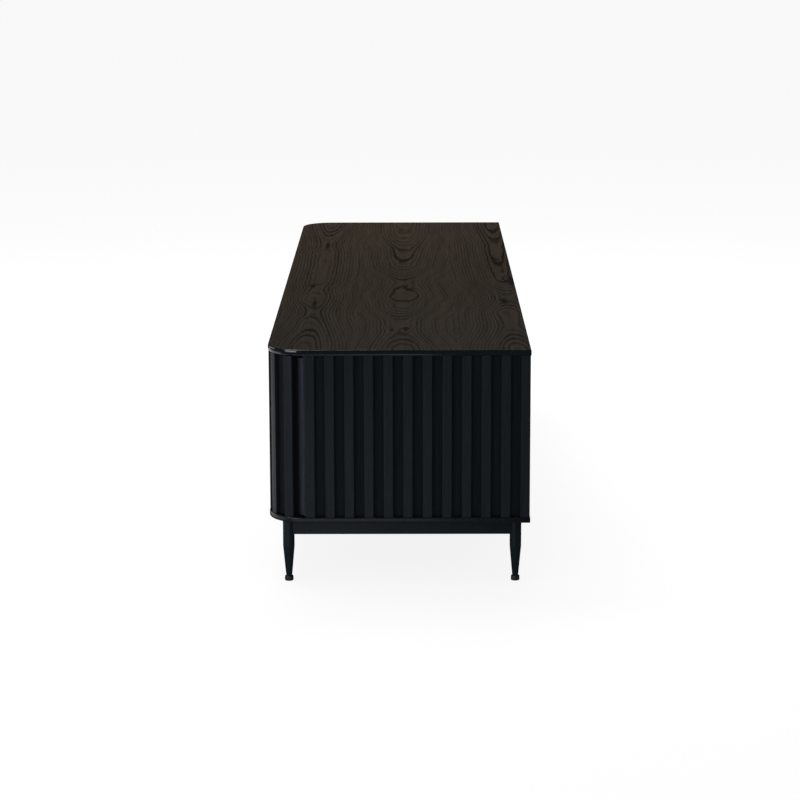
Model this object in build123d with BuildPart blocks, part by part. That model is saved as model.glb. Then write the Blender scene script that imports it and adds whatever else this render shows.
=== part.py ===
from build123d import *

import os
from math import cos, pi, radians, sin

# Low slatted sideboard on a steel base, with four hinged doors and three compartments.
# Millimetres. +X runs along the length, the front faces -Y and +Z is up.
# The origin is on the floor, under the centre of the top.
# Right-hand pieces (+X) are modelled, and their left-hand twins are mirrored from them.

# ---- driving dimensions: case ----
LENGTH = 1600
DEPTH = 450
BASE = 109  # floor to the underside of the bottom board
BOARD = 10  # top and bottom board
CLEAR = 282  # between the two boards
CORNER_R = 65  # front corners of both boards
ARRIS = 1.2  # rounding of the board edges
REVEAL = 1  # slat faces stand this far inside the board edges
BACK_CORNER_R = 2

# ---- driving dimensions: slatted skins ----
SKIN = 12  # board that carries the slats
SLAT_WIDE = 16
SLAT_DEEP = 6
SLAT_ROUND = 0.8
END_SLATS = 12
DOOR_SLATS = 12  # on each of the four doors
FIRST_SLAT_DEG = 27.3  # middle of the first door slat, measured round the corner from the end
SKIN_EDGE_DEG = 19.5  # where a corner door's board stops short of its hinge post

# ---- driving dimensions: doors and hinges ----
DOOR_GAP = 1  # above and below a door
SEAM = 3  # between two doors
POST_R = 11.7  # round hinge post at the edge of a corner door
POST_GAP = 0.4  # between the post and the end panel round it
POST_LIFT = 2.5  # under the post
POST_DROP = 5  # above the post
END_TIP = 5  # the end panel starts this far behind the hinge axis
SLAT_GAP = 0.3  # between the hinge axis and the first end slat
RUNNING = 0.05  # radial clearance of a pin that turns in its hole
PIN_R = 2.5
PIN_GRIP = 7  # length of a pin held in a board
PIN_REACH = 12  # length of a pin inside the door
BUSH_R = 4
PIN_END = 0.5  # room past the end of a pin
WASHER_R = 5.5
WASHER_THICK = 2.3
SPACER_THICK = 4.6  # the taller washer above a hinge post
LEAF_THICK = 2.5
LEAF_LONG = 36
LEAF_WIDE = 8
LEAF_INSET = 1.5  # front edge of a leaf behind the door board's face
EYE_R = 3.2
KNIFE_INSET = 2  # knife-hinge axis inside the door board's front corner
KNIFE_PIN_R = 1.6
KNIFE_REACH = 8  # length of a knife-hinge pin below its leaf

# ---- driving dimensions: inner boards ----
SUB_TOP = 12
SUB_TOP_FRONT = -200
SUB_TOP_CORNER_R = 33
POST_ROOM = 1  # round the hinge post, in the sub-top
PARTITION = 16
PARTITION_FRONT = -204
BACK_THICK = 5
BACK_FACE = 219  # outer face of the back panel
GROOVE = 4  # depth of the groove that holds the back panel in an end panel
BOARD_GROOVE = 3  # depth of the same groove in the top and bottom boards
GROOVE_PLAY = 0.5
SHELF = 15
SHELF_PLAY = 1
SIDE_SHELF_FRONT = -145
MIDDLE_SHELF_FRONT = -175
SHELF_HEIGHT = 246.5
SHELF_PIN_R = 2.5
SHELF_PIN_LONG = 15
SHELF_PIN_DEEP = 7
SHELF_PIN_Y = (-110, 160)
CABLE_R = 30
CABLE_HEIGHT = 165
CABLE_ASIDE = 240

# ---- driving dimensions: push latches ----
LATCH_WIDE = 16
LATCH_TALL = 14
LATCH_LONG = 50
LATCH_BORE_DEEP = 34
PLUNGER_R = 4
PLUNGER_CLEAR = 0.08
PLUNGER_LONG = 31
PLUNGER_TIP_R = 1
STRIKE_R = 8
STRIKE_THICK = 1.5
STRIKE_GAP = 0.2
OUTER_LATCH_X = 430
INNER_LATCH_X = 22

# ---- driving dimensions: steel base ----
LEG_R = 10
LEG_TIP_R = 5.4
LEG_X = 770.5
LEG_Y = (-191, 201)  # front and back
LEG_TAPER_Z = 62
LEG_TIP_Z = 11
RAIL_TALL = 25
RAIL_WIDE = 15
RAIL_WALL = 1.5
FOOT_R = 7.5
FOOT_TALL = 9.5
FOOT_EDGE_R = 3
FOOT_SOLE_R = 1.5
STEM_R = 3
STEM_LONG = 26
STEM_ROOM = 4  # spare thread depth above the stem

# ---- driving dimensions: fasteners ----
SCREW_R = 2.25
SCREW_HOLE_R = 2.6
SCREW_HEAD_R = 4.5
SCREW_HEAD = 2.5
SCREW_BITE = 7
FRAME_SCREW_X = (-640, -220, 220, 640)
TOP_SCREW_X = (-700, -330, 0, 330, 700)
TOP_SCREW_Y = (-150, 170)
SMALL_SCREW_R = 1.5
SMALL_HEAD_R = 3.5
SMALL_HEAD = 1.2
SMALL_SCREW_LONG = 15
LEAF_SCREW_R = 1.25
LEAF_SCREW_LONG = 5
LEAF_SCREW_X = (14, 28)  # behind the knife-hinge axis
DOWEL_R = 3
DOWEL_LONG = 24
DOWEL_IN_BOARD = 8
DOWEL_Y = (-120, 30, 180)

# ---- levels and lines that follow from the driving dimensions ----
HALF = LENGTH / 2
FRONT = -DEPTH / 2
REAR = DEPTH / 2
FLOOR_Z = BASE + BOARD
CEILING_Z = FLOOR_Z + CLEAR
CORNER = (HALF - CORNER_R, FRONT + CORNER_R)

SLAT_R = CORNER_R - REVEAL
SKIN_OUT_R = SLAT_R - SLAT_DEEP
SKIN_IN_R = SKIN_OUT_R - SKIN
SLAT_FACE_Y = FRONT + REVEAL
SKIN_FACE_Y = SLAT_FACE_Y + SLAT_DEEP
SKIN_BACK_Y = SKIN_FACE_Y + SKIN
END_FACE_X = HALF - REVEAL
END_SKIN_X = END_FACE_X - SLAT_DEEP
END_INNER_X = END_SKIN_X - SKIN
CASE_REAR = REAR - REVEAL
BACK_INNER_Y = BACK_FACE - BACK_THICK

DOOR_Z = FLOOR_Z + DOOR_GAP
DOOR_TALL = CLEAR - 2 * DOOR_GAP
DOOR_TOP_Z = DOOR_Z + DOOR_TALL
POST_Z = FLOOR_Z + POST_LIFT
POST_TOP_Z = CEILING_Z - POST_DROP
SUB_TOP_Z = CEILING_Z - SUB_TOP

PIVOT = (END_INNER_X, CORNER[1])
END_FRONT = CORNER[1] + SLAT_GAP
END_PITCH = (CASE_REAR - END_FRONT - SLAT_WIDE) / (END_SLATS - 1)

# Door slats are evenly spaced along the face of the door board, from the first one on
# the corner to the last one, half a space from the centre line of the front.
BEND_LEFT = radians(90 - FIRST_SLAT_DEG) * SKIN_OUT_R
DOOR_PITCH = (CORNER[0] + BEND_LEFT) / (2 * DOOR_SLATS - 0.5)
SEAM_X = CORNER[0] + BEND_LEFT - (DOOR_SLATS - 0.5) * DOOR_PITCH
INNER_DOOR_X = (SEAM / 2, SEAM_X - SEAM / 2)
KNIFE = (INNER_DOOR_X[1] - KNIFE_INSET, SKIN_FACE_Y + KNIFE_INSET)

LATCH_Z = SUB_TOP_Z - LATCH_TALL / 2
STRIKE_Y = SKIN_BACK_Y + STRIKE_THICK
PLUNGER_Y = STRIKE_Y + STRIKE_GAP
RAIL_Z = BASE - RAIL_TALL
SHELF_PIN_Z = SHELF_HEIGHT - SHELF_PIN_R


def save(piece, name):
    """Label a finished piece and write it as the node of that name."""
    piece.part.label = name
    export_step(piece.part, f"parts/{name}.step")


def save_pair(piece, name):
    """Write a right-hand piece and its mirrored left-hand twin."""
    save(piece, f"{name}_right")
    with BuildPart() as twin:
        mirror(piece.part, about=Plane.YZ)
    save(twin, f"{name}_left")


def both(points):
    """Each (x, y) point and its mirror image across the middle of the length."""
    return [(side * x, y) for side in (-1, 1) for x, y in points]


def on_corner(radius, degrees):
    """A point of the right front corner, at an angle measured round from the end."""
    angle = radians(degrees)
    return (CORNER[0] + radius * cos(angle), CORNER[1] - radius * sin(angle))


def board_outline():
    """Outline of the top and bottom boards: round front corners, square back ones."""
    Rectangle(LENGTH, DEPTH)
    fillet(vertices().group_by(Axis.Y)[0], radius=CORNER_R)
    fillet(vertices().group_by(Axis.Y)[-1], radius=BACK_CORNER_R)


def dowel_columns():
    """Plan positions of the upright dowels in the end panels and partitions."""
    end_x = (END_SKIN_X + END_INNER_X) / 2
    return both([(x, y) for x in (end_x, SEAM_X) for y in DOWEL_Y])


os.makedirs("parts", exist_ok=True)

# ---------------------------------------------------------------- fasteners and hinges
# Small hardware comes first, because the boards are pocketed to take it.

with BuildPart() as pivot_pins:
    pin_ends = ((FLOOR_Z - PIN_GRIP, POST_Z + PIN_REACH), (POST_TOP_Z - PIN_REACH, CEILING_Z + PIN_GRIP))
    for start, end in pin_ends:
        with BuildSketch(Plane.XY.offset(start)):
            with Locations(*both([PIVOT])):
                Circle(PIN_R)
        extrude(amount=end - start)
save(pivot_pins, "pivot_pins")

with BuildPart() as pivot_bushes:
    for start in (POST_Z, POST_TOP_Z - PIN_REACH):
        with BuildSketch(Plane.XY.offset(start)):
            with Locations(PIVOT):
                Circle(BUSH_R)
                Circle(PIN_R + RUNNING, mode=Mode.SUBTRACT)
        extrude(amount=PIN_REACH)
save_pair(pivot_bushes, "pivot_bushes")

with BuildPart() as pivot_washers:
    for start, thick in ((FLOOR_Z, WASHER_THICK), (CEILING_Z - SPACER_THICK, SPACER_THICK)):
        with BuildSketch(Plane.XY.offset(start)):
            with Locations(*both([PIVOT])):
                Circle(WASHER_R)
                Circle(PIN_R + RUNNING, mode=Mode.SUBTRACT)
        extrude(amount=thick)
save(pivot_washers, "pivot_washers")


def leaf_outline(centres, eye_hole):
    """Knife-hinge leaves in plan: a strip with a round eye on each hinge axis."""
    strip_y = SKIN_FACE_Y + LEAF_INSET + LEAF_WIDE / 2
    for x, y in centres:
        inward = -1 if x > 0 else 1
        with Locations((x + inward * LEAF_LONG / 2, strip_y)):
            Rectangle(LEAF_LONG, LEAF_WIDE)
        with Locations((x, y)):
            Circle(EYE_R)
    for x, y in centres:
        for back in LEAF_SCREW_X:
            inward = -1 if x > 0 else 1
            with Locations((x + inward * back, strip_y)):
                Circle(LEAF_SCREW_R, mode=Mode.SUBTRACT)
        if eye_hole:
            with Locations((x, y)):
                Circle(KNIFE_PIN_R + RUNNING, mode=Mode.SUBTRACT)


def leaf_screw_points(centres):
    """Plan positions of the screws of the knife-hinge leaves."""
    strip_y = SKIN_FACE_Y + LEAF_INSET + LEAF_WIDE / 2
    return [(x + (-1 if x > 0 else 1) * back, strip_y) for x, y in centres for back in LEAF_SCREW_X]


# The case leaves are let into the two boards, with a pin that reaches into the door.
with BuildPart() as case_leaves:
    for start in (FLOOR_Z - LEAF_THICK, CEILING_Z):
        with BuildSketch(Plane.XY.offset(start)):
            leaf_outline(both([KNIFE]), eye_hole=False)
        extrude(amount=LEAF_THICK)
    for start in (FLOOR_Z, CEILING_Z - KNIFE_REACH):
        with BuildSketch(Plane.XY.offset(start)):
            with Locations(*both([KNIFE])):
                Circle(KNIFE_PIN_R)
        extrude(amount=KNIFE_REACH)
save(case_leaves, "case_leaves")

with BuildPart() as door_leaves:
    for start in (DOOR_Z, DOOR_TOP_Z - LEAF_THICK):
        with BuildSketch(Plane.XY.offset(start)):
            leaf_outline([KNIFE], eye_hole=True)
        extrude(amount=LEAF_THICK)
save_pair(door_leaves, "door_leaves")


LEAF_SCREW_TOTAL = LEAF_THICK + LEAF_SCREW_LONG

with BuildPart() as case_leaf_screws:
    for start in (FLOOR_Z - LEAF_SCREW_TOTAL, CEILING_Z):
        with BuildSketch(Plane.XY.offset(start)):
            with Locations(*leaf_screw_points(both([KNIFE]))):
                Circle(LEAF_SCREW_R)
        extrude(amount=LEAF_SCREW_TOTAL)
save(case_leaf_screws, "case_leaf_screws")

with BuildPart() as door_leaf_screws:
    for start in (DOOR_Z, DOOR_TOP_Z - LEAF_SCREW_TOTAL):
        with BuildSketch(Plane.XY.offset(start)):
            with Locations(*leaf_screw_points([KNIFE])):
                Circle(LEAF_SCREW_R)
        extrude(amount=LEAF_SCREW_TOTAL)
save_pair(door_leaf_screws, "door_leaf_screws")

# Screws that hold the bottom board to the rails, driven from below through both tube walls.
with BuildPart() as frame_screws:
    points = [(x, y) for x in FRAME_SCREW_X for y in LEG_Y]
    with BuildSketch(Plane.XY.offset(RAIL_Z)):
        with Locations(*points):
            Circle(SCREW_R)
    extrude(amount=RAIL_TALL + SCREW_BITE)
    with BuildSketch(Plane.XY.offset(RAIL_Z - SCREW_HEAD)):
        with Locations(*points):
            Circle(SCREW_HEAD_R)
    extrude(amount=SCREW_HEAD)
    fillet(edges().group_by(Axis.Z)[0], radius=SCREW_HEAD / 2)
save(frame_screws, "frame_screws")

# Screws that pull the top board down on the sub-top.
with BuildPart() as top_screws:
    points = [(x, y) for x in TOP_SCREW_X for y in TOP_SCREW_Y]
    with BuildSketch(Plane.XY.offset(SUB_TOP_Z)):
        with Locations(*points):
            Circle(SCREW_R)
    extrude(amount=SUB_TOP + SCREW_BITE)
    with BuildSketch(Plane.XY.offset(SUB_TOP_Z)):
        with Locations(*points):
            Circle(SCREW_HEAD_R)
    extrude(amount=SCREW_HEAD)
save(top_screws, "top_screws")

with BuildPart() as joint_dowels:
    for start in (FLOOR_Z - DOWEL_IN_BOARD, CEILING_Z + DOWEL_IN_BOARD - DOWEL_LONG):
        with BuildSketch(Plane.XY.offset(start)):
            with Locations(*[p for p in dowel_columns() if abs(p[0]) > SEAM_X + 1]):
                Circle(DOWEL_R)
        extrude(amount=DOWEL_LONG)
    for start in (FLOOR_Z - DOWEL_IN_BOARD, SUB_TOP_Z + DOWEL_IN_BOARD - DOWEL_LONG):
        with BuildSketch(Plane.XY.offset(start)):
            with Locations(*[p for p in dowel_columns() if abs(p[0]) < SEAM_X + 1]):
                Circle(DOWEL_R)
        extrude(amount=DOWEL_LONG)
save(joint_dowels, "joint_dowels")

with BuildPart() as shelf_pins:
    faces_x = (END_INNER_X, SEAM_X + PARTITION / 2, SEAM_X - PARTITION / 2)
    for face_x, inward in zip(faces_x, (-1, 1, -1)):
        for side in (-1, 1):
            start = side * (face_x - inward * SHELF_PIN_DEEP)
            with BuildSketch(Plane.YZ.offset(start)):
                with Locations(*[(y, SHELF_PIN_Z) for y in SHELF_PIN_Y]):
                    Circle(SHELF_PIN_R)
            extrude(amount=side * inward * SHELF_PIN_LONG)
save(shelf_pins, "shelf_pins")

with BuildPart() as back_screws:
    points = [(x, SUB_TOP_Z + SUB_TOP / 2) for x in TOP_SCREW_X]
    points += [(side * SEAM_X, z) for side in (-1, 1) for z in (160, 260, 350)]
    with BuildSketch(Plane.XZ.offset(-BACK_FACE)):
        with Locations(*points):
            Circle(SMALL_SCREW_R)
    extrude(amount=SMALL_SCREW_LONG)
    with BuildSketch(Plane.XZ.offset(-BACK_FACE)):
        with Locations(*points):
            Circle(SMALL_HEAD_R)
    extrude(amount=-SMALL_HEAD)
    fillet(edges().group_by(Axis.Y)[-1], radius=SMALL_HEAD / 2)
save(back_screws, "back_screws")

# --------------------------------------------------------------------------- the case

with BuildPart() as back_panel:
    with BuildSketch(Plane.XZ.offset(-BACK_FACE)):
        with Locations((0, FLOOR_Z + CLEAR / 2)):
            half_wide = END_INNER_X + GROOVE - GROOVE_PLAY
            Rectangle(2 * half_wide, CLEAR + 2 * (BOARD_GROOVE - GROOVE_PLAY))
        with Locations((CABLE_ASIDE, CABLE_HEIGHT)):
            Circle(CABLE_R, mode=Mode.SUBTRACT)
    extrude(amount=BACK_THICK)
    add(back_screws.part, mode=Mode.SUBTRACT)
save(back_panel, "back_panel")


def back_groove():
    """Groove in a board's inner face for the edge of the back panel."""
    with Locations((0, BACK_FACE - BACK_THICK / 2)):
        Rectangle(2 * (END_INNER_X + GROOVE), BACK_THICK)


with BuildPart() as top_panel:
    with BuildSketch(Plane.XY.offset(CEILING_Z)):
        board_outline()
    extrude(amount=BOARD)
    fillet(edges().group_by(Axis.Z)[-1] + edges().group_by(Axis.Z)[0], radius=ARRIS)
    with BuildSketch(Plane.XY.offset(CEILING_Z)):
        back_groove()
    extrude(amount=BOARD_GROOVE, mode=Mode.SUBTRACT)
    add(pivot_pins.part, mode=Mode.SUBTRACT)
    add(case_leaves.part, mode=Mode.SUBTRACT)
    add(case_leaf_screws.part, mode=Mode.SUBTRACT)
    add(top_screws.part, mode=Mode.SUBTRACT)
    add(joint_dowels.part, mode=Mode.SUBTRACT)
save(top_panel, "top_panel")

with BuildPart() as bottom_panel:
    with BuildSketch(Plane.XY.offset(BASE)):
        board_outline()
    extrude(amount=BOARD)
    fillet(edges().group_by(Axis.Z)[-1] + edges().group_by(Axis.Z)[0], radius=ARRIS)
    with BuildSketch(Plane.XY.offset(FLOOR_Z - BOARD_GROOVE)):
        back_groove()
    extrude(amount=BOARD_GROOVE, mode=Mode.SUBTRACT)
    add(pivot_pins.part, mode=Mode.SUBTRACT)
    add(case_leaves.part, mode=Mode.SUBTRACT)
    add(case_leaf_screws.part, mode=Mode.SUBTRACT)
    add(frame_screws.part, mode=Mode.SUBTRACT)
    add(joint_dowels.part, mode=Mode.SUBTRACT)
save(bottom_panel, "bottom_panel")

# Inner board under the top, cut back at the front corners where the doors turn.
with BuildPart() as sub_top:
    with BuildSketch(Plane.XY.offset(SUB_TOP_Z)):
        deep = BACK_INNER_Y - CORNER[1]
        with Locations((0, CORNER[1] + deep / 2)):
            Rectangle(2 * END_INNER_X, deep)
        with Locations((0, (CORNER[1] + SUB_TOP_FRONT) / 2)):
            Rectangle(2 * CORNER[0], CORNER[1] - SUB_TOP_FRONT)
        with Locations(*both([CORNER])):
            Circle(SUB_TOP_CORNER_R)
        with Locations(*both([PIVOT])):
            Circle(POST_R + POST_ROOM, mode=Mode.SUBTRACT)
    extrude(amount=SUB_TOP)
    add(top_screws.part, mode=Mode.SUBTRACT)
    add(joint_dowels.part, mode=Mode.SUBTRACT)
    add(back_screws.part, mode=Mode.SUBTRACT)
save(sub_top, "sub_top")

with BuildPart() as end_panel:
    with BuildSketch(Plane.XY.offset(FLOOR_Z)):
        with Locations((END_SKIN_X - SKIN / 2, (PIVOT[1] + END_TIP + CASE_REAR) / 2)):
            Rectangle(SKIN, CASE_REAR - PIVOT[1] - END_TIP)
        with Locations(PIVOT):
            Circle(POST_R + POST_GAP, mode=Mode.SUBTRACT)
        with Locations((END_INNER_X + GROOVE / 2, BACK_FACE - BACK_THICK / 2)):
            Rectangle(GROOVE, BACK_THICK, mode=Mode.SUBTRACT)
    extrude(amount=CLEAR)
    add(joint_dowels.part, mode=Mode.SUBTRACT)
    add(shelf_pins.part, mode=Mode.SUBTRACT)
save_pair(end_panel, "end_panel")

with BuildPart() as end_slats:
    with BuildSketch(Plane.XY.offset(FLOOR_Z)):
        for i in range(END_SLATS):
            middle_y = END_FRONT + SLAT_WIDE / 2 + i * END_PITCH
            with Locations((END_SKIN_X + SLAT_DEEP / 2, middle_y)):
                Rectangle(SLAT_DEEP, SLAT_WIDE)
        fillet(vertices().group_by(Axis.X)[-1], radius=SLAT_ROUND)
    extrude(amount=CLEAR)
save_pair(end_slats, "end_slats")

with BuildPart() as partition:
    with BuildSketch(Plane.XY.offset(FLOOR_Z)):
        with Locations((SEAM_X, (PARTITION_FRONT + BACK_INNER_Y) / 2)):
            Rectangle(PARTITION, BACK_INNER_Y - PARTITION_FRONT)
    extrude(amount=CLEAR - SUB_TOP)
    add(joint_dowels.part, mode=Mode.SUBTRACT)
    add(shelf_pins.part, mode=Mode.SUBTRACT)
    add(back_screws.part, mode=Mode.SUBTRACT)
save_pair(partition, "partition")


def shelf(left, right, front):
    """A loose shelf between two uprights, with its front edges eased."""
    with BuildPart() as board:
        with BuildSketch(Plane.XY.offset(SHELF_HEIGHT)):
            with Locations(((left + right) / 2, (front + BACK_INNER_Y - SHELF_PLAY) / 2)):
                Rectangle(right - left - 2 * SHELF_PLAY, BACK_INNER_Y - SHELF_PLAY - front)
        extrude(amount=SHELF)
        fillet(edges().filter_by(Axis.X).group_by(Axis.Y)[0], radius=SLAT_ROUND)
    return board


save_pair(shelf(SEAM_X + PARTITION / 2, END_INNER_X, SIDE_SHELF_FRONT), "shelf")
middle_reach = SEAM_X - PARTITION / 2
save(shelf(-middle_reach, middle_reach, MIDDLE_SHELF_FRONT), "shelf_middle")

# -------------------------------------------------------------------------- the doors

# Corner door: a flat board that turns the corner and steps back to a round post on its
# hinge axis. Nothing of it but the post lies in front of the axis, so it opens clear of the
# end slats, and the post turns in the hollow front edge of the end panel.
with BuildPart() as outer_door:
    with BuildSketch(Plane.XY.offset(DOOR_Z)):
        with BuildLine():
            turn = 90 - SKIN_EDGE_DEG
            step = on_corner(SKIN_OUT_R, SKIN_EDGE_DEG)
            free_x = SEAM_X + SEAM / 2
            CenterArc(CORNER, SKIN_OUT_R, -SKIN_EDGE_DEG, -turn)
            CenterArc(CORNER, SKIN_IN_R, 0, -90)
            Polyline(step, (PIVOT[0], step[1]), PIVOT)
            Polyline(
                (CORNER[0], SKIN_FACE_Y),
                (free_x, SKIN_FACE_Y),
                (free_x, SKIN_BACK_Y),
                (CORNER[0], SKIN_BACK_Y),
            )
        make_face()
    extrude(amount=DOOR_TALL)
    with BuildSketch(Plane.XY.offset(POST_Z)):
        with Locations(PIVOT):
            Circle(POST_R)
    extrude(amount=POST_TOP_Z - POST_Z)
    for start, end in ((DOOR_Z, POST_Z), (POST_TOP_Z, DOOR_TOP_Z)):
        with BuildSketch(Plane.XY.offset(start)):
            with Locations(PIVOT):
                Circle(POST_R)
        extrude(amount=end - start, mode=Mode.SUBTRACT)
    for start in (POST_Z, POST_TOP_Z - PIN_REACH - PIN_END):
        with BuildSketch(Plane.XY.offset(start)):
            with Locations(PIVOT):
                Circle(BUSH_R)
        extrude(amount=PIN_REACH + PIN_END, mode=Mode.SUBTRACT)
save_pair(outer_door, "outer_door")

with BuildPart() as outer_door_slats:
    for i in range(2):
        middle = FIRST_SLAT_DEG + i * DOOR_PITCH / SKIN_OUT_R * 180 / pi
        half = SLAT_WIDE / SLAT_R * 90 / pi
        with BuildSketch(Plane.XY.offset(DOOR_Z)):
            with BuildLine():
                CenterArc(CORNER, SLAT_R, -(middle - half), -2 * half)
                CenterArc(CORNER, SKIN_OUT_R, -(middle - half), -2 * half)
                Line(on_corner(SLAT_R, middle - half), on_corner(SKIN_OUT_R, middle - half))
                Line(on_corner(SLAT_R, middle + half), on_corner(SKIN_OUT_R, middle + half))
            make_face()
            outer_points = vertices().filter_by(
                lambda v: abs(v.X - CORNER[0]) ** 2 + abs(v.Y - CORNER[1]) ** 2 > (SLAT_R - 1) ** 2
            )
            fillet(outer_points, radius=SLAT_ROUND)
        extrude(amount=DOOR_TALL)
    with BuildSketch(Plane.XY.offset(DOOR_Z)):
        for i in range(2, DOOR_SLATS):
            middle_x = CORNER[0] + BEND_LEFT - i * DOOR_PITCH
            with Locations((middle_x, SLAT_FACE_Y + SLAT_DEEP / 2)):
                Rectangle(SLAT_WIDE, SLAT_DEEP)
        fillet(vertices().group_by(Axis.Y)[0], radius=SLAT_ROUND)
    extrude(amount=DOOR_TALL)
save_pair(outer_door_slats, "outer_door_slats")

with BuildPart() as inner_door:
    with BuildSketch(Plane.XY.offset(DOOR_Z)):
        with Locations((sum(INNER_DOOR_X) / 2, SKIN_FACE_Y + SKIN / 2)):
            Rectangle(INNER_DOOR_X[1] - INNER_DOOR_X[0], SKIN)
    extrude(amount=DOOR_TALL)
    for start in (DOOR_Z, DOOR_TOP_Z - LEAF_THICK):
        with BuildSketch(Plane.XY.offset(start)):
            leaf_outline([KNIFE], eye_hole=False)
            with Locations(*leaf_screw_points([KNIFE])):
                Circle(LEAF_SCREW_R)
        extrude(amount=LEAF_THICK, mode=Mode.SUBTRACT)
    for start in (DOOR_Z, DOOR_TOP_Z - KNIFE_REACH):
        with BuildSketch(Plane.XY.offset(start)):
            with Locations(KNIFE):
                Circle(EYE_R)
        extrude(amount=KNIFE_REACH, mode=Mode.SUBTRACT)
    add(door_leaf_screws.part, mode=Mode.SUBTRACT)
save_pair(inner_door, "inner_door")

with BuildPart() as inner_door_slats:
    with BuildSketch(Plane.XY.offset(DOOR_Z)):
        for i in range(DOOR_SLATS):
            middle_x = (i + 0.5) * DOOR_PITCH
            with Locations((middle_x, SLAT_FACE_Y + SLAT_DEEP / 2)):
                Rectangle(SLAT_WIDE, SLAT_DEEP)
        fillet(vertices().group_by(Axis.Y)[0], radius=SLAT_ROUND)
    extrude(amount=DOOR_TALL)
save_pair(inner_door_slats, "inner_door_slats")

# ------------------------------------------------------------------------ push latches

with BuildPart() as latch_housings:
    points = both([(OUTER_LATCH_X, LATCH_Z), (INNER_LATCH_X, LATCH_Z)])
    with BuildSketch(Plane.XZ.offset(-SUB_TOP_FRONT)):
        with Locations(*points):
            Rectangle(LATCH_WIDE, LATCH_TALL)
    extrude(amount=-LATCH_LONG)
    fillet(edges().filter_by(Axis.Y).group_by(Axis.Z)[0], radius=SLAT_ROUND)
    with BuildSketch(Plane.XZ.offset(-SUB_TOP_FRONT)):
        with Locations(*points):
            Circle(PLUNGER_R + PLUNGER_CLEAR)
    extrude(amount=-LATCH_BORE_DEEP, mode=Mode.SUBTRACT)
save(latch_housings, "latch_housings")

for name, latch_x in (("outer", OUTER_LATCH_X), ("inner", INNER_LATCH_X)):
    with BuildPart() as plunger:
        with BuildSketch(Plane.XZ.offset(-PLUNGER_Y)):
            with Locations((latch_x, LATCH_Z)):
                Circle(PLUNGER_R)
        extrude(amount=-PLUNGER_LONG)
        fillet(edges().group_by(Axis.Y)[0], radius=PLUNGER_TIP_R)
    save_pair(plunger, f"{name}_plunger")

    with BuildPart() as strike:
        with BuildSketch(Plane.XZ.offset(-STRIKE_Y)):
            with Locations((latch_x, LATCH_Z)):
                Circle(STRIKE_R)
        extrude(amount=STRIKE_THICK)
    save_pair(strike, f"{name}_strike")

# -------------------------------------------------------------------------- steel base

# Legs and feet: turned, so each is a half profile spun about the leg's own axis.
for place, leg_y in zip(("front", "back"), LEG_Y):
    with BuildPart() as leg:
        with BuildSketch(Plane((LEG_X, leg_y, 0), x_dir=(1, 0, 0), z_dir=(0, -1, 0))):
            with BuildLine():
                Polyline(
                    (0, LEG_TIP_Z),
                    (LEG_TIP_R, LEG_TIP_Z),
                    (LEG_R, LEG_TAPER_Z),
                    (LEG_R, BASE),
                    (0, BASE),
                    close=True,
                )
            make_face()
        revolve(axis=Axis((LEG_X, leg_y, 0), (0, 0, 1)))
        with BuildSketch(Plane.XY.offset(LEG_TIP_Z)):
            with Locations((LEG_X, leg_y)):
                Circle(STEM_R + RUNNING)
        extrude(amount=FOOT_TALL + STEM_LONG + STEM_ROOM - LEG_TIP_Z, mode=Mode.SUBTRACT)
    save_pair(leg, f"leg_{place}")

    with BuildPart() as foot:
        with BuildSketch(Plane.XY):
            with Locations((LEG_X, leg_y)):
                Circle(FOOT_R)
        extrude(amount=FOOT_TALL)
        fillet(edges().group_by(Axis.Z)[-1], radius=FOOT_EDGE_R)
        fillet(edges().group_by(Axis.Z)[0], radius=FOOT_SOLE_R)
        with BuildSketch(Plane.XY.offset(FOOT_TALL)):
            with Locations((LEG_X, leg_y)):
                Circle(STEM_R)
        extrude(amount=STEM_LONG)
    save_pair(foot, f"foot_{place}")


def tube_section():
    """Section of a rail: an upright rectangular steel tube, hung under the bottom board."""
    Rectangle(RAIL_WIDE, RAIL_TALL)
    Rectangle(RAIL_WIDE - 2 * RAIL_WALL, RAIL_TALL - 2 * RAIL_WALL, mode=Mode.SUBTRACT)


# Long rails run from leg to leg, with their ends coped round the legs.
for place, leg_y in zip(("front", "back"), LEG_Y):
    with BuildPart() as rail:
        with BuildSketch(Plane.YZ.offset(-LEG_X)):
            with Locations((leg_y, RAIL_Z + RAIL_TALL / 2)):
                tube_section()
        extrude(amount=2 * LEG_X)
        with BuildSketch(Plane.XY.offset(RAIL_Z)):
            with Locations(*both([(LEG_X, leg_y)])):
                Circle(LEG_R)
        extrude(amount=RAIL_TALL, mode=Mode.SUBTRACT)
        with BuildSketch(Plane.XY.offset(RAIL_Z)):
            with Locations(*[(x, leg_y) for x in FRAME_SCREW_X]):
                Circle(SCREW_HOLE_R)
        extrude(amount=RAIL_TALL, mode=Mode.SUBTRACT)
    save(rail, f"rail_{place}")

# End rails and cross rails fit between the long ones. The cross rails are under the partitions.
with BuildPart() as rail_end:
    with BuildSketch(Plane.XZ.offset(-(LEG_Y[0] + RAIL_WIDE / 2))):
        with Locations((LEG_X, RAIL_Z + RAIL_TALL / 2)):
            tube_section()
    extrude(amount=-(LEG_Y[1] - LEG_Y[0] - RAIL_WIDE))
    with BuildSketch(Plane.XY.offset(RAIL_Z)):
        with Locations(*[(LEG_X, y) for y in LEG_Y]):
            Circle(LEG_R)
    extrude(amount=RAIL_TALL, mode=Mode.SUBTRACT)
save_pair(rail_end, "rail_end")

with BuildPart() as rail_cross:
    with BuildSketch(Plane.XZ.offset(-(LEG_Y[0] + RAIL_WIDE / 2))):
        with Locations((SEAM_X, RAIL_Z + RAIL_TALL / 2)):
            tube_section()
    extrude(amount=-(LEG_Y[1] - LEG_Y[0] - RAIL_WIDE))
save_pair(rail_cross, "rail_cross")
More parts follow.
